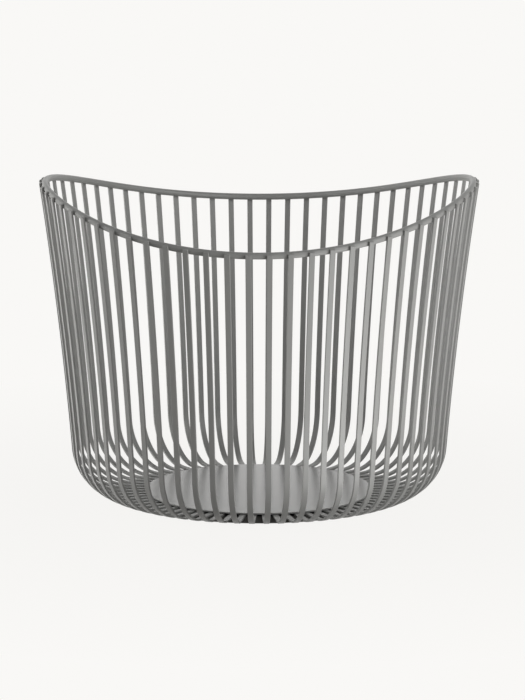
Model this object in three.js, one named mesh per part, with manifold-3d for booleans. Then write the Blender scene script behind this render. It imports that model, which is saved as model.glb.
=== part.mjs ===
// Storage basket of upright steel strips, welded to a saddle-shaped rim wire and to a round base disc.
// Millimetres, +Z up. The origin is on the floor, below the middle of the disc, and +X points to a high point
// of the rim.

import * as THREE from 'three';
import { mergeVertices } from 'three/addons/utils/BufferGeometryUtils.js';
import Module from 'manifold-3d';

const wasm = await Module();
wasm.setup();

// Form of the wall, measured on the outside of the strips
const TOP_DIAMETER = 400; // at the height of the rim's high points
const FOOT_DIAMETER = 338.6; // where the wall would reach the floor if it had no bend
const WALL_BOW = 2.75; // how far the wall lies inside a straight line at half its height
const BEND_RADIUS = 47.8; // outside of the bend from the wall to the floor

// Rim wire, with its heights measured to the centre of the wire
const HIGH_RIM_HEIGHT = 289.5;
const LOW_RIM_HEIGHT = 249.5;
const RIM_WIRE_DIAMETER = 6;
const RIM_GATHER_SHARE = 0.22; // how much of the rim's rise is drawn towards its high points

// Flat strips
const STRIP_COUNT = 66;
const STRIPS_PER_NODE = 2;
const STRIP_WIDTH = 5;
const STRIP_THICKNESS = 2;
const STRIP_INNER_RADIUS = 56;
const STRIP_END_ABOVE_WIRE_CENTRE = 1.2;

// Weld between the inner ends of two neighbouring strips
const WELD_LENGTH = 6;
const WELD_LIFT = 0.4; // above the floor

// Base disc
const DISC_DIAMETER = 208.5;
const DISC_THICKNESS = 1.5;
const DISC_EDGE_BREAK = 0.3;

// Gap between two pieces that touch on the real basket
const CLEARANCE = 0.3;

// Numbers of facets, and of passes to fit the bend
const BEND_PASSES = 6;
const CURVE_DIVISIONS = 4;
const RIM_STEPS_PER_STRIP = 2;
const WIRE_SIDES = 10;
const DISC_SIDES = 96;

// Satin powder coat over steel
const STRIP_FINISH = { color: 0x777675, roughness: 0.55, metalness: 0.3 };
const RIM_FINISH = { color: 0x777675, roughness: 0.55, metalness: 0.3 };
const DISC_FINISH = { color: 0x9b9a98, roughness: 0.5, metalness: 0.3 };

const stripPitch = (2 * Math.PI) / STRIP_COUNT;
const wireRadius = RIM_WIRE_DIAMETER / 2;

// Radius of the wall's outside at a height: a straight flare, bowed inward as a parabola
function wallRadius(height) {
  const rise = height / HIGH_RIM_HEIGHT;
  const straight = THREE.MathUtils.lerp(FOOT_DIAMETER, TOP_DIAMETER, rise) / 2;
  return straight - 4 * WALL_BOW * rise * (1 - rise);
}

// Change of that radius for each millimetre of height
function wallSlope(height) {
  const rise = height / HIGH_RIM_HEIGHT;
  const flare = (TOP_DIAMETER - FOOT_DIAMETER) / 2;
  return (flare - 4 * WALL_BOW * (1 - 2 * rise)) / HIGH_RIM_HEIGHT;
}

// Height of the wire's centre around the rim: two high points on the X axis, two low points on the Y axis
function rimHeight(angle) {
  const across = Math.cos(angle) ** 2;
  const gathered = across * (1 - RIM_GATHER_SHARE * (1 - across));
  return THREE.MathUtils.lerp(LOW_RIM_HEIGHT, HIGH_RIM_HEIGHT, gathered);
}

// The wire's centre lies inside the strips, at its own height
function rimRadius(angle) {
  return wallRadius(rimHeight(angle)) - STRIP_THICKNESS - CLEARANCE - wireRadius;
}

// The bend turns from the wall to the floor. It ends on the wall where both have the same slope.
function fitBend() {
  let height = BEND_RADIUS;
  for (let pass = 0; pass < BEND_PASSES; pass += 1) {
    height = BEND_RADIUS * (1 - Math.sin(Math.atan(wallSlope(height))));
  }
  const lean = Math.atan(wallSlope(height));
  return { height, lean, centreRadius: wallRadius(height) - BEND_RADIUS * Math.cos(lean) };
}

const bend = fitBend();

// A point of the wall at a height, moved inward at a right angle to the wall
function wallPoint(height, depth) {
  const lean = Math.atan(wallSlope(height));
  return new THREE.Vector2(wallRadius(height) - depth * Math.cos(lean), height + depth * Math.sin(lean));
}

// The handle point of the curve that follows the wall from the bend to a height
function wallHandle(height, depth) {
  const reach = (height - bend.height) / 2;
  const lean = Math.atan(wallSlope(bend.height + reach));
  return new THREE.Vector2(
    wallRadius(bend.height) + wallSlope(bend.height) * reach - depth * Math.cos(lean),
    bend.height + reach + depth * Math.sin(lean),
  );
}

// Side view of one strip: out along the floor, round the bend, up the wall, and back along its inner face
function stripOutline(topHeight) {
  const outerTop = wallPoint(topHeight, 0);
  const innerTop = wallPoint(topHeight, STRIP_THICKNESS);
  const innerFoot = wallPoint(bend.height, STRIP_THICKNESS);
  const outerHandle = wallHandle(topHeight, 0);
  const innerHandle = wallHandle(topHeight, STRIP_THICKNESS);
  const innerBend = BEND_RADIUS - STRIP_THICKNESS;
  const outline = new THREE.Shape();
  outline.moveTo(STRIP_INNER_RADIUS, 0);
  outline.lineTo(bend.centreRadius, 0);
  outline.absarc(bend.centreRadius, BEND_RADIUS, BEND_RADIUS, -Math.PI / 2, -bend.lean, false);
  outline.quadraticCurveTo(outerHandle.x, outerHandle.y, outerTop.x, outerTop.y);
  outline.lineTo(innerTop.x, innerTop.y);
  outline.quadraticCurveTo(innerHandle.x, innerHandle.y, innerFoot.x, innerFoot.y);
  outline.absarc(bend.centreRadius, BEND_RADIUS, innerBend, -bend.lean, -Math.PI / 2, true);
  outline.lineTo(STRIP_INNER_RADIUS, STRIP_THICKNESS);
  outline.closePath();
  return outline;
}

// One strip at its angle around the basket
function stripGeometry(angle) {
  const outline = stripOutline(rimHeight(angle) + STRIP_END_ABOVE_WIRE_CENTRE);
  const geometry = new THREE.ExtrudeGeometry(outline, {
    depth: STRIP_WIDTH,
    bevelEnabled: false,
    curveSegments: CURVE_DIVISIONS,
  });
  geometry.rotateX(Math.PI / 2);
  geometry.translate(0, STRIP_WIDTH / 2, 0);
  geometry.rotateZ(angle);
  return geometry;
}

// The weld fills the narrow gap between two strips and reaches into both
function weldGeometry(angle) {
  const height = STRIP_THICKNESS - WELD_LIFT;
  const outerRadius = STRIP_INNER_RADIUS + WELD_LENGTH;
  const width = outerRadius * stripPitch;
  const geometry = new THREE.BoxGeometry(WELD_LENGTH, width, height);
  geometry.translate(STRIP_INNER_RADIUS + WELD_LENGTH / 2, 0, WELD_LIFT + height / 2);
  geometry.rotateZ(angle);
  return geometry;
}

function toSolid(geometry) {
  const bare = geometry.clone();
  bare.deleteAttribute('normal');
  bare.deleteAttribute('uv');
  const merged = mergeVertices(bare);
  const mesh = new wasm.Mesh({
    numProp: 3,
    vertProperties: new Float32Array(merged.attributes.position.array),
    triVerts: new Uint32Array(merged.index.array),
  });
  return new wasm.Manifold(mesh);
}

function toGeometry(solid) {
  const mesh = solid.getMesh();
  const geometry = new THREE.BufferGeometry();
  geometry.setAttribute('position', new THREE.BufferAttribute(mesh.vertProperties, 3));
  geometry.setIndex(new THREE.BufferAttribute(mesh.triVerts, 1));
  geometry.computeVertexNormals();
  return geometry;
}

// Neighbouring strips, with a weld between each two of them at their inner ends
function stripGroupGeometry(first) {
  let solid = toSolid(stripGeometry(first * stripPitch));
  for (let step = 1; step < STRIPS_PER_NODE; step += 1) {
    const angle = (first + step) * stripPitch;
    solid = solid.add(toSolid(weldGeometry(angle - stripPitch / 2)));
    solid = solid.add(toSolid(stripGeometry(angle)));
  }
  return toGeometry(solid);
}

// A round ring, with each point moved out and up to the saddle at its own angle
function rimGeometry() {
  const steps = STRIP_COUNT * RIM_STEPS_PER_STRIP;
  const ringRadius = TOP_DIAMETER / 2;
  const geometry = new THREE.TorusGeometry(ringRadius, wireRadius, WIRE_SIDES, steps);
  const points = geometry.attributes.position;
  for (let index = 0; index < points.count; index += 1) {
    const angle = Math.atan2(points.getY(index), points.getX(index));
    const radius = Math.hypot(points.getX(index), points.getY(index)) - ringRadius + rimRadius(angle);
    const height = points.getZ(index) + rimHeight(angle);
    points.setXYZ(index, radius * Math.cos(angle), radius * Math.sin(angle), height);
  }
  return toGeometry(toSolid(geometry));
}

// A flat sheet disc with its edges broken, lying just above the strips
function discGeometry() {
  const radius = DISC_DIAMETER / 2;
  const bottom = STRIP_THICKNESS + CLEARANCE;
  const top = bottom + DISC_THICKNESS;
  const profile = [
    new THREE.Vector2(0, bottom),
    new THREE.Vector2(radius - DISC_EDGE_BREAK, bottom),
    new THREE.Vector2(radius, bottom + DISC_EDGE_BREAK),
    new THREE.Vector2(radius, top - DISC_EDGE_BREAK),
    new THREE.Vector2(radius - DISC_EDGE_BREAK, top),
    new THREE.Vector2(0, top),
  ];
  const geometry = new THREE.LatheGeometry(profile, DISC_SIDES);
  geometry.rotateX(Math.PI / 2);
  return toGeometry(toSolid(geometry));
}

function piece(name, geometry, finish) {
  const mesh = new THREE.Mesh(geometry, new THREE.MeshStandardMaterial(finish));
  mesh.name = name;
  return mesh;
}

const basket = new THREE.Group();

const strips = new THREE.Group();
for (let first = 0; first < STRIP_COUNT; first += STRIPS_PER_NODE) {
  const number = String(first / STRIPS_PER_NODE + 1).padStart(2, '0');
  strips.add(piece(`strip_pair_${number}`, stripGroupGeometry(first), STRIP_FINISH));
}
basket.add(strips);

basket.add(piece('rim_wire', rimGeometry(), RIM_FINISH));
basket.add(piece('base_disc', discGeometry(), DISC_FINISH));

export default basket;
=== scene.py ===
"""Storage basket of flat steel strips on a round base disc, held at the top by a saddle-shaped rim wire.

Metres, +Z up. The origin is on the floor below the middle of the disc, +X points to a high point of the rim
and -Y is the front.
"""

import math
from collections import namedtuple

import bmesh
import bpy
from mathutils import Matrix, Vector


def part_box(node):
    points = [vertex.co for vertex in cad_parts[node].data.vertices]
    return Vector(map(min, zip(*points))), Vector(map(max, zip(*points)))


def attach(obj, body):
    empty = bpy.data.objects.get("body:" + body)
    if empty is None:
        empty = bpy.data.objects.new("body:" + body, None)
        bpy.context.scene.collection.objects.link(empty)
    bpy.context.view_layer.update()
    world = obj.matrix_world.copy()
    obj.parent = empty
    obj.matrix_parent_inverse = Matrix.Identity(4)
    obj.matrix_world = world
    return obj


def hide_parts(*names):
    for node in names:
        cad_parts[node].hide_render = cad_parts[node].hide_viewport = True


bl_info = {
    "name": "Steel Strip Basket",
    "version": (1, 0, 0),
    "blender": (4, 5, 0),
    "location": "3D View > Sidebar > Basket",
    "description": "Builds a round storage basket of powder-coated steel strips, and a plain studio for it",
    "category": "Object",
}

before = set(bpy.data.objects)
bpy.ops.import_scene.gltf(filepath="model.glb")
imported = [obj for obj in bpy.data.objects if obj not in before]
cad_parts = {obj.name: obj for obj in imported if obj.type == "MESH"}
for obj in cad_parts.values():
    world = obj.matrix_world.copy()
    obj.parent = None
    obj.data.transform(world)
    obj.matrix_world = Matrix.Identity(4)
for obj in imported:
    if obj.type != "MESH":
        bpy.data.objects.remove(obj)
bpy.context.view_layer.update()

BODY = "root"
MM = 0.001
STRIP_NODES = sorted(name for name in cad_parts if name.startswith("strip_pair_"))
STRIPS_PER_NODE = 2
DISC_LOW, DISC_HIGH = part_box("base_disc")


def length(name, millimetres, description):
    """A property that holds a real length"""
    return bpy.props.FloatProperty(
        name=name, description=description, default=millimetres * MM, min=0, precision=5, unit="LENGTH"
    )


def colour(name, hex_value, description):
    """A property that holds a colour as sRGB hex digits"""
    return bpy.props.StringProperty(name=name, description=description, default=hex_value)


class BasketSizes(bpy.types.PropertyGroup):
    """Real sizes of the strips, the rim wire, the base disc and their welds"""

    top_diameter: length("Top diameter", 400, "Outside of the strips, as high as the rim's high points")
    foot_diameter: length("Foot diameter", 338.6, "Where the wall would reach the floor if it had no bend")
    wall_bow: length("Wall bow", 2.75, "How far the wall lies inside a straight line at half its height")
    bend_radius: length("Bend radius", 47.8, "Outside of the bend from the wall to the floor")
    high_rim_height: length("High rim height", 289.5, "Centre of the rim wire at its two high points")
    low_rim_height: length("Low rim height", 249.5, "Centre of the rim wire at its two low points")
    rim_gather: bpy.props.FloatProperty(
        name="Rim gather", description="How much of the rim's rise is drawn towards its high points",
        default=0.22, min=0, max=1, subtype="FACTOR",
    )
    wire_diameter: length("Wire diameter", 6, "Thickness of the round rim wire")
    strip_width: length("Strip width", 5, "Wide face of a flat strip")
    strip_thickness: length("Strip thickness", 2, "Narrow side of a flat strip")
    strip_edge: length("Strip edge", 0.3, "Rounding of a rolled strip's edges")
    strip_end_round: length("Strip end rounding", 1.2, "Rounding on the outside of a strip's upper end")
    strip_inner_radius: length("Strip inner radius", 56, "From the basket's axis to the strips' inner ends")
    strip_end_rise: length("Strip end rise", 1.2, "How far the strips end above the centre of the rim wire")
    weld_bead: length("Weld bead", 0.7, "Radius of the weld beads between the strips and the rim wire")
    weld_sink: length("Weld sink", 0.25, "How deep a weld bead reaches into the pieces that it joins")
    spot_weld: length("Spot weld", 1.2, "Radius of the weld between a strip and the side of the rim wire")
    inner_weld_length: length("Inner weld length", 6, "Weld between two strips' inner ends")
    inner_weld_lift: length("Inner weld lift", 0.4, "Height of that weld's underside above the floor")
    disc_diameter: length("Disc diameter", (DISC_HIGH.x - DISC_LOW.x) / MM, "Across the round base disc")
    disc_underside: length("Disc underside", DISC_LOW.z / MM, "Height of the disc's underside")
    disc_thickness: length("Disc thickness", (DISC_HIGH.z - DISC_LOW.z) / MM, "Thickness of the disc's sheet")
    disc_edge: length("Disc edge", 0.4, "Rounding of the disc's deburred edge")
    clearance: length("Clearance", 0.3, "Gap between pieces that only their welds join")


class BasketFinish(bpy.types.PropertyGroup):
    """Colours and gloss of the powder coat"""

    strip_colour: colour("Strip colour", "8e8e8c", "Powder coat of the strips")
    rim_colour: colour("Rim colour", "8e8e8c", "Powder coat of the rim wire")
    disc_colour: colour("Disc colour", "8e8e8c", "Powder coat of the base disc")
    roughness: bpy.props.FloatProperty(
        name="Roughness", description="Roughness of the satin powder coat",
        default=0.42, min=0, max=1, subtype="FACTOR",
    )
    disc_roughness: bpy.props.FloatProperty(
        name="Disc roughness", description="Roughness of the coat on the disc, where it flows out smoother",
        default=0.24, min=0, max=1, subtype="FACTOR",
    )


class BasketStudio(bpy.types.PropertyGroup):
    """Floor, lamps and camera"""

    background: colour("Background", "f9f8f6", "Colour that the camera sees around the basket")
    floor_colour: colour("Floor colour", "b0aeaa", "Colour of the floor where it throws light back")
    # Painted shade: the floor's colour under the basket is a darker grey, which deepens the basket's shadow
    # there
    painted_footprint_shade: colour("Footprint colour", "6e6d6a", "Colour of the floor under the basket")
    shadow_share: bpy.props.FloatProperty(
        name="Shadow share", description="How much of the floor's shading the camera sees around the basket",
        default=0.05, min=0, max=1, subtype="FACTOR",
    )
    shade_radius: length("Shade radius", 123, "Inside it the camera sees all of the floor's shading")
    shade_shift: length("Shade shift", 4, "How far that shading lies in front of the disc's middle")
    shade_fade: length("Shade fade", 2.5, "Width over which that goes down to the shadow share")
    shadow_reach: length("Shadow reach", 600, "Radius at which the floor shows none of its shading")
    ambient: bpy.props.FloatProperty(
        name="Ambient light", description="Strength of the even light from all around", default=0.0, min=0,
    )
    camera_side: length("Camera side", 3, "How far the camera stands to the right of the basket's axis")
    camera_distance: length("Camera distance", 3114.15, "From the basket's axis to the camera")
    camera_height: length("Camera height", 697.82, "Height of the camera above the floor")
    camera_dip: bpy.props.FloatProperty(
        name="Camera dip", description="How far the camera looks down from level",
        default=math.radians(10.275), subtype="ANGLE",
    )
    camera_lens: bpy.props.FloatProperty(
        name="Lens", description="Focal length, for a frame whose long side is the sensor's width",
        default=177.32, subtype="DISTANCE_CAMERA",
    )


Bend = namedtuple("Bend", "height lean centre_radius")


def wall_radius(sizes, height):
    """Radius of the wall's outside at a height: a straight flare, bowed inward as a parabola"""
    rise = height / sizes.high_rim_height
    straight = (sizes.foot_diameter + (sizes.top_diameter - sizes.foot_diameter) * rise) / 2
    return straight - 4 * sizes.wall_bow * rise * (1 - rise)


def wall_slope(sizes, height):
    """Change of that radius for each metre of height"""
    rise = height / sizes.high_rim_height
    flare = (sizes.top_diameter - sizes.foot_diameter) / 2
    return (flare - 4 * sizes.wall_bow * (1 - 2 * rise)) / sizes.high_rim_height


def rim_height(sizes, angle):
    """Height of the rim wire's centre: two high points on the X axis, two low points on the Y axis"""
    across = math.cos(angle) ** 2
    gathered = across * (1 - sizes.rim_gather * (1 - across))
    return sizes.low_rim_height + (sizes.high_rim_height - sizes.low_rim_height) * gathered


def rim_point(sizes, angle):
    """The rim wire's centre, just inside the strips"""
    height = rim_height(sizes, angle)
    radius = wall_radius(sizes, height) - sizes.strip_thickness - sizes.clearance - sizes.wire_diameter / 2
    return Vector((radius * math.cos(angle), radius * math.sin(angle), height))


BEND_PASSES = 6


def fit_bend(sizes):
    """The bend turns from the floor to the wall, and ends where both have the same slope"""
    height = sizes.bend_radius
    for _ in range(BEND_PASSES):
        height = sizes.bend_radius * (1 - math.sin(math.atan(wall_slope(sizes, height))))
    lean = math.atan(wall_slope(sizes, height))
    return Bend(height, lean, wall_radius(sizes, height) - sizes.bend_radius * math.cos(lean))


def add_node(tree, kind, inputs=None, **settings):
    """Adds a node to a tree. inputs holds values, or the sockets that feed the node's own"""
    node = tree.nodes.new(kind)
    for name, value in settings.items():
        setattr(node, name, value)
    for name, value in (inputs or {}).items():
        if isinstance(value, bpy.types.NodeSocket):
            tree.links.new(value, node.inputs[name])
        else:
            node.inputs[name].default_value = value
    return node


def linear(hex_value, share=1.0):
    """An sRGB hex colour as linear red, green, blue and alpha, times a share of its brightness"""
    channels = [int(hex_value[start:start + 2], 16) / 255 for start in (0, 2, 4)]
    curved = [c / 12.92 if c <= 0.04045 else ((c + 0.055) / 1.055) ** 2.4 for c in channels]
    return (*(c * share for c in curved), 1.0)


def new_material(name):
    """An empty node material"""
    material = bpy.data.materials.new(name)
    material.use_nodes = True
    material.node_tree.nodes.clear()
    return material


# Clouds where the coat is thicker or thinner, and the shares of its colour and roughness at both ends
CLOUD_SIZE = 45 * MM
CLOUD_TONES = (0.93, 1.07)
CLOUD_DULLNESS = (0.88, 1.12)
# Unmelted grains of powder. Real ones measure 0.1 mm and wouldn't show, so these measure 1.5 mm.
GRAIN_SIZE = 1.5 * MM
# Orange peel: shallow waves, from the way the powder melts
PEEL_SIZE = 2.5 * MM
PEEL_DEPTH = 0.1 * MM
PEEL_STRENGTH = 0.35
POLYESTER_IOR = 1.5


def powder_coat(name, hex_value, roughness):
    """Steel under a baked satin polyester powder coat.

    The powder melts to an even grey skin with a fine orange peel. The eye sees soft, wide highlights with
    slightly broken edges, and a hardly visible cloudiness where the coat is thicker or thinner.
    """
    material = new_material(name)
    tree = material.node_tree
    place = add_node(tree, "ShaderNodeTexCoord").outputs["Object"]
    clouds = add_node(tree, "ShaderNodeTexNoise", {"Vector": place, "Scale": 1 / CLOUD_SIZE, "Detail": 2.0})
    grains = add_node(tree, "ShaderNodeTexNoise", {"Vector": place, "Scale": 1 / GRAIN_SIZE, "Detail": 1.0})
    peel = add_node(tree, "ShaderNodeTexNoise", {"Vector": place, "Scale": 1 / PEEL_SIZE, "Detail": 2.0})
    thin, thick = (linear(hex_value, tone) for tone in CLOUD_TONES)
    cloudy = add_node(tree, "ShaderNodeMix", {0: clouds.outputs["Fac"], 6: thin, 7: thick}, data_type="RGBA")
    grainy = add_node(
        tree, "ShaderNodeMix", {0: grains.outputs["Fac"], 6: cloudy.outputs[2], 7: linear(hex_value)},
        data_type="RGBA",
    )
    glossy, dull = (roughness * share for share in CLOUD_DULLNESS)
    dulling = add_node(
        tree, "ShaderNodeMapRange", {"Value": clouds.outputs["Fac"], "To Min": glossy, "To Max": dull}
    )
    bump = add_node(
        tree, "ShaderNodeBump",
        {"Strength": PEEL_STRENGTH, "Distance": PEEL_DEPTH, "Height": peel.outputs["Fac"]},
    )
    coat = add_node(
        tree, "ShaderNodeBsdfPrincipled",
        {
            "Base Color": grainy.outputs[2], "Roughness": dulling.outputs["Result"], "IOR": POLYESTER_IOR,
            "Normal": bump.outputs["Normal"],
        },
    )
    add_node(tree, "ShaderNodeOutputMaterial", {"Surface": coat.outputs["BSDF"]})
    return material


def add_shape(target, shape):
    """Moves a shape into another one"""
    mesh = bpy.data.meshes.new("passing")
    shape.to_mesh(mesh)
    shape.free()
    target.from_mesh(mesh)
    bpy.data.meshes.remove(mesh)


def add_piece(shape, name, material, nodes):
    """Makes a shape a piece that rides on the basket's one body and stands for those nodes"""
    bmesh.ops.recalc_face_normals(shape, faces=shape.faces)
    mesh = bpy.data.meshes.new(name)
    shape.to_mesh(mesh)
    shape.free()
    mesh.shade_smooth()
    mesh.materials.append(material)
    piece = bpy.data.objects.new(name, mesh)
    bpy.context.scene.collection.objects.link(piece)
    # Wide flat faces keep their own normal, so that only the rounded edges look round
    even = piece.modifiers.new("Even faces", "WEIGHTED_NORMAL")
    even.keep_sharp = True
    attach(piece, BODY)
    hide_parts(*nodes)
    return piece


EDGE_SEGMENTS = 3
END_SEGMENTS = 5
SHARP_ANGLE = math.radians(60)
BEND_DIVISIONS = 20
WALL_DIVISIONS = 12


def bent_place(sizes, bend, place):
    """Where a point of the straight bar goes when it is bent: along the floor, round the bend, up the wall"""
    floor_run = bend.centre_radius - sizes.strip_inner_radius
    bend_run = sizes.bend_radius * (math.pi / 2 - bend.lean)
    if place.x < floor_run:
        facing = -math.pi / 2
        outside = Vector((sizes.strip_inner_radius + place.x, 0))
    elif place.x < floor_run + bend_run:
        facing = (place.x - floor_run) / sizes.bend_radius - math.pi / 2
        outside = Vector((
            bend.centre_radius + sizes.bend_radius * math.cos(facing),
            sizes.bend_radius + sizes.bend_radius * math.sin(facing),
        ))
    else:
        height = bend.height + place.x - floor_run - bend_run
        facing = -math.atan(wall_slope(sizes, height))
        outside = Vector((wall_radius(sizes, height), height))
    inside = outside - place.z * Vector((math.cos(facing), math.sin(facing)))
    return Vector((inside.x, place.y, inside.y))


def strip_shape(sizes, bend, angle):
    """One flat strip: a straight bar with rounded edges, which is then bent and turned to its angle"""
    floor_run = bend.centre_radius - sizes.strip_inner_radius
    bend_run = sizes.bend_radius * (math.pi / 2 - bend.lean)
    wall_run = rim_height(sizes, angle) + sizes.strip_end_rise - bend.height
    full_run = floor_run + bend_run + wall_run
    bar = bmesh.new()
    bmesh.ops.create_cube(bar, size=1.0)
    bmesh.ops.translate(bar, vec=(0.5, 0, 0.5), verts=bar.verts)
    bmesh.ops.scale(bar, vec=(full_run, sizes.strip_width, sizes.strip_thickness), verts=bar.verts)
    upper_end = [
        edge for edge in bar.edges
        if all(vert.co.x > full_run / 2 and vert.co.z < sizes.strip_thickness / 2 for vert in edge.verts)
    ]
    bmesh.ops.bevel(
        bar, geom=upper_end, offset=sizes.strip_end_round, offset_type="OFFSET", segments=END_SEGMENTS,
        profile=0.5, affect="EDGES", material=-1,
    )
    sharp = [edge for edge in bar.edges if edge.calc_face_angle() > SHARP_ANGLE]
    bmesh.ops.bevel(
        bar, geom=sharp, offset=sizes.strip_edge, offset_type="OFFSET", segments=EDGE_SEGMENTS,
        profile=0.5, affect="EDGES", material=-1,
    )
    cuts = [floor_run + bend_run * step / BEND_DIVISIONS for step in range(BEND_DIVISIONS + 1)]
    cuts += [floor_run + bend_run + wall_run * step / WALL_DIVISIONS for step in range(1, WALL_DIVISIONS)]
    for cut in cuts:
        geometry = bar.verts[:] + bar.edges[:] + bar.faces[:]
        bmesh.ops.bisect_plane(bar, geom=geometry, plane_co=(cut, 0, 0), plane_no=(1, 0, 0))
    for vert in bar.verts:
        vert.co = bent_place(sizes, bend, vert.co)
    bmesh.ops.rotate(bar, cent=(0, 0, 0), matrix=Matrix.Rotation(angle, 3, "Z"), verts=bar.verts)
    return bar


BEAD_SEGMENTS = 12
BEAD_RINGS = 8
BEAD_WIDTH_SHARE = 0.94
# The inner weld's edges are rounded by a third of its height
INNER_WELD_PARTS = 3


def bead_shape(sizes, size, radius, height, angle):
    """A weld bead of a size across the strip at an angle, thickest in the middle of the strip"""
    bead = bmesh.new()
    bmesh.ops.create_uvsphere(bead, u_segments=BEAD_SEGMENTS, v_segments=BEAD_RINGS, radius=size)
    half_width = sizes.strip_width * BEAD_WIDTH_SHARE / 2
    bmesh.ops.scale(bead, vec=(1, half_width / size, 1), verts=bead.verts)
    bmesh.ops.translate(bead, vec=(radius, 0, height), verts=bead.verts)
    bmesh.ops.rotate(bead, cent=(0, 0, 0), matrix=Matrix.Rotation(angle, 3, "Z"), verts=bead.verts)
    return bead


def rim_beads(sizes, angle):
    """The beads that join a strip to the rim wire: in the corner below it, beside it and over the end"""
    centre = rim_point(sizes, angle)
    radius = math.hypot(centre.x, centre.y)
    lean = math.atan(wall_slope(sizes, centre.z))
    wire_radius = sizes.wire_diameter / 2
    stand_off = sizes.weld_bead - sizes.weld_sink
    out = wire_radius + sizes.clearance - stand_off
    down = math.sqrt((wire_radius + stand_off) ** 2 - out ** 2)
    over = sizes.strip_end_rise + sizes.weld_sink
    over_out = math.sqrt(wire_radius ** 2 - over ** 2) + stand_off
    places = (
        (sizes.weld_bead, out, -down),
        (sizes.spot_weld, wire_radius + sizes.clearance / 2, 0),
        (sizes.weld_bead, over_out, over),
    )
    beads = []
    for size, sideways, upward in places:
        bead_radius = radius + sideways * math.cos(lean) + upward * math.sin(lean)
        bead_height = centre.z - sideways * math.sin(lean) + upward * math.cos(lean)
        beads.append(bead_shape(sizes, size, bead_radius, bead_height, angle))
    return beads


def inner_weld_shape(sizes, angle, pitch):
    """The weld between the inner ends of two neighbouring strips"""
    height = sizes.strip_thickness - sizes.inner_weld_lift
    width = (sizes.strip_inner_radius + sizes.inner_weld_length) * pitch
    weld = bmesh.new()
    bmesh.ops.create_cube(weld, size=1.0)
    bmesh.ops.translate(weld, vec=(0.5, 0, 0.5), verts=weld.verts)
    bmesh.ops.scale(weld, vec=(sizes.inner_weld_length, width, height), verts=weld.verts)
    bmesh.ops.bevel(
        weld, geom=weld.edges[:], offset=height / INNER_WELD_PARTS, offset_type="OFFSET",
        segments=EDGE_SEGMENTS, profile=0.5, affect="EDGES", material=-1,
    )
    bmesh.ops.translate(weld, vec=(sizes.strip_inner_radius, 0, sizes.inner_weld_lift), verts=weld.verts)
    bmesh.ops.rotate(weld, cent=(0, 0, 0), matrix=Matrix.Rotation(angle, 3, "Z"), verts=weld.verts)
    return weld


class BASKET_OT_add_strips(bpy.types.Operator):
    """Add the upright flat strips, two to a piece, with the welds at both of their ends"""

    bl_idname = "basket.add_strips"
    bl_label = "Add strips"

    def execute(self, context):
        sizes = context.scene.basket_sizes
        finish = context.scene.basket_finish
        coat = powder_coat("Satin powder coat on rolled steel strip", finish.strip_colour, finish.roughness)
        bend = fit_bend(sizes)
        pitch = 2 * math.pi / (len(STRIP_NODES) * STRIPS_PER_NODE)
        for number, node in enumerate(STRIP_NODES):
            pair = bmesh.new()
            first = number * STRIPS_PER_NODE
            for strip in range(first, first + STRIPS_PER_NODE):
                add_shape(pair, strip_shape(sizes, bend, strip * pitch))
                for bead in rim_beads(sizes, strip * pitch):
                    add_shape(pair, bead)
            add_shape(pair, inner_weld_shape(sizes, (first + 0.5) * pitch, pitch))
            add_piece(pair, f"strips_{number + 1:02d}", coat, [node])
        return {"FINISHED"}


WIRE_SEGMENTS = 24
WIRE_STEPS = 264
FINE_STEP = 0.001


def rim_frame(sizes, angle):
    """Centre of the rim wire at an angle, with the directions out of and up from the wire there"""
    centre = rim_point(sizes, angle)
    along = (rim_point(sizes, angle + FINE_STEP) - rim_point(sizes, angle - FINE_STEP)).normalized()
    outward = Vector((math.cos(angle), math.sin(angle), 0))
    outward = (outward - along * outward.dot(along)).normalized()
    return centre, outward, outward.cross(along)


class BASKET_OT_add_rim_wire(bpy.types.Operator):
    """Add the round rim wire, bent to a closed saddle"""

    bl_idname = "basket.add_rim_wire"
    bl_label = "Add rim wire"

    def execute(self, context):
        sizes = context.scene.basket_sizes
        finish = context.scene.basket_finish
        coat = powder_coat("Satin powder coat on round steel wire", finish.rim_colour, finish.roughness)
        ring_radius = sizes.top_diameter / 2
        upright = Matrix.Translation((ring_radius, 0, 0)) @ Matrix.Rotation(math.pi / 2, 4, "X")
        wire = bmesh.new()
        bmesh.ops.create_circle(
            wire, cap_ends=False, segments=WIRE_SEGMENTS, radius=sizes.wire_diameter / 2, matrix=upright
        )
        bmesh.ops.spin(
            wire, geom=wire.verts[:] + wire.edges[:], cent=(0, 0, 0), axis=(0, 0, 1), dvec=(0, 0, 0),
            angle=2 * math.pi, steps=WIRE_STEPS, use_merge=True,
        )
        for vert in wire.verts:
            angle = math.atan2(vert.co.y, vert.co.x)
            centre, outward, upward = rim_frame(sizes, angle)
            out = math.hypot(vert.co.x, vert.co.y) - ring_radius
            vert.co = centre + out * outward + vert.co.z * upward
        add_piece(wire, "rim", coat, ["rim_wire"])
        return {"FINISHED"}


DISC_SEGMENTS = 192


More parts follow.
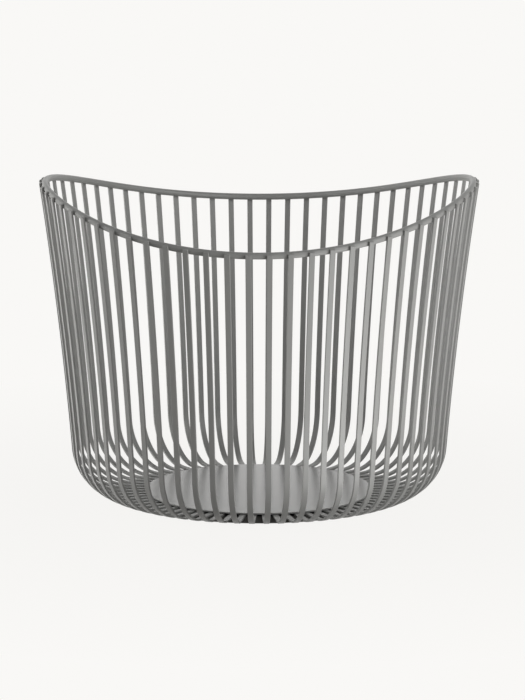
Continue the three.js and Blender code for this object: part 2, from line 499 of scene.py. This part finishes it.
class BASKET_OT_add_base_disc(bpy.types.Operator):
    """Add the flat base disc, which lies on the strips"""

    bl_idname = "basket.add_base_disc"
    bl_label = "Add base disc"

    def execute(self, context):
        sizes = context.scene.basket_sizes
        finish = context.scene.basket_finish
        coat = powder_coat("Satin powder coat on sheet steel", finish.disc_colour, finish.disc_roughness)
        disc = bmesh.new()
        bmesh.ops.create_circle(
            disc, cap_ends=True, segments=DISC_SEGMENTS, radius=sizes.disc_diameter / 2,
            matrix=Matrix.Translation((0, 0, sizes.disc_underside)),
        )
        sheet = bmesh.ops.extrude_face_region(disc, geom=disc.faces[:] + disc.edges[:])
        raised = [part for part in sheet["geom"] if isinstance(part, bmesh.types.BMVert)]
        bmesh.ops.translate(disc, vec=(0, 0, sizes.disc_thickness), verts=raised)
        level = [
            edge for edge in disc.edges
            if abs(edge.verts[0].co.z - edge.verts[1].co.z) < sizes.disc_edge
        ]
        bmesh.ops.bevel(
            disc, geom=level, offset=sizes.disc_edge, offset_type="OFFSET", segments=EDGE_SEGMENTS,
            profile=0.5, affect="EDGES", material=-1,
        )
        add_piece(disc, "disc", coat, ["base_disc"])
        return {"FINISHED"}


FLOOR_RADIUS = 30.0
FLOOR_SEGMENTS = 64
FLOOR_GAP = 0.05 * MM
SENSOR_WIDTH = 36.0

# Each lamp: its name, its angle from the front towards +X in degrees, how far out and how high it stands, how
# far out and how high it points, its width and height, all in metres, its watts, and whether glossy surfaces
# show its mirror image. The two low side lamps would show as white patches in the disc from across, so they
# have none. The two cards lie on the floor at the right front and light the strips from below.
Lamp = namedtuple("Lamp", "name around out high aim_out aim_high width height watts mirrored")
LAMPS = (
    Lamp("key", 45, 2.16, 1.17, 0, 0.12, 2.2, 1.5, 25.0, True),
    Lamp("low", 60, 1.5, 0.25, 0, 0.12, 0.4, 0.4, 5.5, False),
    Lamp("card_far", 42, 0.6, 0.01, 0.6, 1.0, 0.25, 0.2, 1.32, True),
    Lamp("card_near", 32, 0.3, 0.01, 0.3, 1.0, 0.15, 0.12, 0.24, True),
    Lamp("left", -100, 1.5, 0.25, 0, 0.12, 0.4, 0.4, 20.6, False),
    Lamp("front_left", -66, 2.06, 1.36, 0, 0.12, 1.3, 1.3, 7.7, True),
    Lamp("backdrop", 180, 2.23, 1.02, 0, 0.12, 1.3, 1.3, 2.4, True),
)


def seen_share(tree):
    """A socket that is 1 where a ray is seen, straight or as a mirror image, and 0 where it only lights"""
    path = add_node(tree, "ShaderNodeLightPath")
    share = path.outputs["Is Camera Ray"]
    for kind in ("Is Glossy Ray", "Is Transmission Ray"):
        both = add_node(tree, "ShaderNodeMath", {0: share, 1: path.outputs[kind]}, operation="MAXIMUM")
        share = both.outputs[0]
    return share


def studio_floor(studio):
    """A matt white sweep of paper.

    The camera sees it nearly as bright as the background, with a share of its shading, and with all of it
    where the basket stands, so the basket's own shadow stays. There the paper's colour is also painted a
    darker grey: painted shade that deepens the shadow between the strips. It throws light back onto the
    basket from below, as paper does.
    """
    material = new_material("Matt white paper sweep")
    tree = material.node_tree
    place = add_node(tree, "ShaderNodeTexCoord").outputs["Object"]
    shift = (0, studio.shade_shift, 0)
    moved = add_node(tree, "ShaderNodeVectorMath", {0: place, 1: shift}, operation="ADD")
    radius = add_node(tree, "ShaderNodeVectorMath", {0: moved.outputs["Vector"]}, operation="LENGTH")
    # How much the paper glows in place of its shading: it rises at once at the shade's edge, then slowly
    near, far = (
        add_node(
            tree, "ShaderNodeMapRange",
            {
                "Value": radius.outputs["Value"], "From Min": studio.shade_radius, "From Max": reach,
                "To Min": 0.0, "To Max": rise,
            },
        )
        for reach, rise in (
            (studio.shade_radius + studio.shade_fade, 1 - studio.shadow_share),
            (studio.shadow_reach, studio.shadow_share),
        )
    )
    glowing = add_node(
        tree, "ShaderNodeMath", {0: near.outputs["Result"], 1: far.outputs["Result"]}, operation="ADD"
    )
    share = add_node(
        tree, "ShaderNodeMath", {0: seen_share(tree), 1: glowing.outputs[0]}, operation="MULTIPLY"
    )
    # Painted shade: inside the shade radius the paper's colour turns to the darker footprint grey, deepening
    # the shadow between the strips
    tone = add_node(
        tree, "ShaderNodeMix",
        {0: near.outputs["Result"], 6: linear(studio.painted_footprint_shade), 7: linear(studio.floor_colour)},
        data_type="RGBA",
    )
    paper = add_node(tree, "ShaderNodeBsdfDiffuse", {"Color": tone.outputs[2]})
    glow = add_node(tree, "ShaderNodeEmission", {"Color": linear(studio.background), "Strength": 1.0})
    mixed = add_node(
        tree, "ShaderNodeMixShader",
        {0: share.outputs[0], 1: paper.outputs["BSDF"], 2: glow.outputs["Emission"]},
    )
    add_node(tree, "ShaderNodeOutputMaterial", {"Surface": mixed.outputs["Shader"]})
    return material


def studio_world(studio):
    """Even light from all around, behind which the camera sees the plain background"""
    world = bpy.data.worlds.new("Studio")
    world.use_nodes = True
    tree = world.node_tree
    tree.nodes.clear()
    around = add_node(tree, "ShaderNodeBackground", {"Color": linear("ffffff"), "Strength": studio.ambient})
    backdrop = add_node(tree, "ShaderNodeBackground", {"Color": linear(studio.background), "Strength": 1.0})
    mixed = add_node(
        tree, "ShaderNodeMixShader",
        {0: seen_share(tree), 1: around.outputs["Background"], 2: backdrop.outputs["Background"]},
    )
    add_node(tree, "ShaderNodeOutputWorld", {"Surface": mixed.outputs["Shader"]})
    return world


def add_lamp(lamp):
    """A soft flat lamp, which doesn't show in the picture"""
    light = bpy.data.lights.new(lamp.name, "AREA")
    light.shape = "RECTANGLE"
    light.size = lamp.width
    light.size_y = lamp.height
    light.energy = lamp.watts
    around = math.radians(lamp.around)
    outward = Vector((math.sin(around), -math.cos(around), 0))
    place = outward * lamp.out + Vector((0, 0, lamp.high))
    aim = outward * lamp.aim_out + Vector((0, 0, lamp.aim_high))
    item = bpy.data.objects.new(f"lamp_{lamp.name}", light)
    item.location = place
    item.rotation_euler = (place - aim).to_track_quat("Z", "Y").to_euler()
    item.visible_camera = False
    item.visible_glossy = lamp.mirrored
    bpy.context.scene.collection.objects.link(item)


class BASKET_OT_add_stage(bpy.types.Operator):
    """Add the floor, the lamps, the background and the camera"""

    bl_idname = "basket.add_stage"
    bl_label = "Add studio"

    def execute(self, context):
        scene = context.scene
        studio = scene.basket_studio
        sweep = bmesh.new()
        bmesh.ops.create_circle(
            sweep, cap_ends=True, segments=FLOOR_SEGMENTS, radius=FLOOR_RADIUS,
            matrix=Matrix.Translation((0, 0, -FLOOR_GAP)),
        )
        mesh = bpy.data.meshes.new("floor")
        sweep.to_mesh(mesh)
        sweep.free()
        mesh.materials.append(studio_floor(studio))
        floor = bpy.data.objects.new("floor", mesh)
        scene.collection.objects.link(floor)
        scene.world = studio_world(studio)
        for lamp in LAMPS:
            add_lamp(lamp)
        data = bpy.data.cameras.new("camera")
        data.sensor_width = SENSOR_WIDTH
        data.lens = studio.camera_lens
        camera = bpy.data.objects.new("camera", data)
        camera.location = (studio.camera_side, -studio.camera_distance, studio.camera_height)
        camera.rotation_euler = (math.pi / 2 - studio.camera_dip, 0, 0)
        scene.collection.objects.link(camera)
        scene.camera = camera
        scene.view_settings.view_transform = "Standard"
        return {"FINISHED"}


class BASKET_PT_sidebar(bpy.types.Panel):
    """Lists the pieces of the basket and what can be set on them"""

    bl_idname = "BASKET_PT_sidebar"
    bl_label = "Steel Strip Basket"
    bl_space_type = "VIEW_3D"
    bl_region_type = "UI"
    bl_category = "Basket"

    def draw(self, context):
        scene = context.scene
        for operator in OPERATORS:
            self.layout.operator(operator.bl_idname)
        for group in (scene.basket_sizes, scene.basket_finish, scene.basket_studio):
            box = self.layout.box()
            for name in group.__annotations__:
                box.prop(group, name)


GROUPS = {"basket_sizes": BasketSizes, "basket_finish": BasketFinish, "basket_studio": BasketStudio}
OPERATORS = (BASKET_OT_add_strips, BASKET_OT_add_rim_wire, BASKET_OT_add_base_disc, BASKET_OT_add_stage)


def register():
    for item in (*GROUPS.values(), *OPERATORS, BASKET_PT_sidebar):
        bpy.utils.register_class(item)
    for name, group in GROUPS.items():
        setattr(bpy.types.Scene, name, bpy.props.PointerProperty(type=group))


def unregister():
    for name in GROUPS:
        delattr(bpy.types.Scene, name)
    for item in reversed((*GROUPS.values(), *OPERATORS, BASKET_PT_sidebar)):
        bpy.utils.unregister_class(item)


def main():
    register()
    bpy.ops.basket.add_strips()
    bpy.ops.basket.add_rim_wire()
    bpy.ops.basket.add_base_disc()
    bpy.ops.basket.add_stage()


if __name__ == "__main__":
    main()
